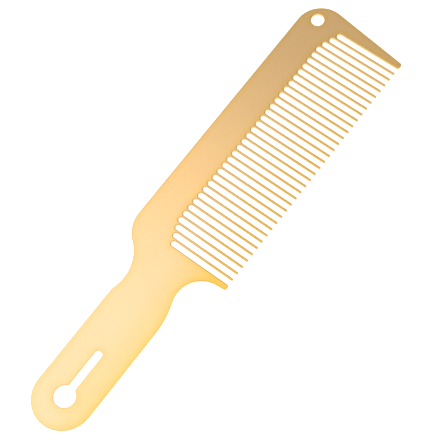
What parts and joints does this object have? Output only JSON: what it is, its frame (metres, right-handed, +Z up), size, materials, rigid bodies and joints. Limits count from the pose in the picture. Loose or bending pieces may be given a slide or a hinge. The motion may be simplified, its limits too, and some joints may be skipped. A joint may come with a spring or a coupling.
{
  "type": "clipper comb",
  "caption": "Long flat metal comb for clipper cutting, with a straight back, fine teeth between two guards, and a rounded handle with a keyhole slot.",
  "frame": {"origin": "centre of the plate's footprint, on its underside", "axes": "+X from the handle to the front of the comb, +Y towards the straight back edge, so the teeth point to -Y, +Z up out of the plate"},
  "size_m": [0.2402, 0.0556, 0.0015],
  "materials": {
    "gold_plate": "satin champagne-gold anodised, bead-blasted"
  },
  "bodies": {
    "root": {"handle": "gold_plate", "neck": "gold_plate", "spine": "gold_plate", "heel_guard": "gold_plate", "tip_guard": "gold_plate", "tooth_01": "gold_plate", "tooth_02": "gold_plate", "tooth_03": "gold_plate", "tooth_04": "gold_plate", "tooth_05": "gold_plate", "tooth_06": "gold_plate", "tooth_07": "gold_plate", "tooth_08": "gold_plate", "tooth_09": "gold_plate", "tooth_10": "gold_plate", "tooth_11": "gold_plate", "tooth_12": "gold_plate", "tooth_13": "gold_plate", "tooth_14": "gold_plate", "tooth_15": "gold_plate", "tooth_16": "gold_plate", "tooth_17": "gold_plate", "tooth_18": "gold_plate", "tooth_19": "gold_plate", "tooth_20": "gold_plate", "tooth_21": "gold_plate", "tooth_22": "gold_plate", "tooth_23": "gold_plate", "tooth_24": "gold_plate", "tooth_25": "gold_plate", "tooth_26": "gold_plate", "tooth_27": "gold_plate", "tooth_28": "gold_plate", "tooth_29": "gold_plate", "tooth_30": "gold_plate", "tooth_31": "gold_plate", "tooth_32": "gold_plate", "tooth_33": "gold_plate", "tooth_34": "gold_plate", "tooth_35": "gold_plate"}
  },
  "joints": []
}
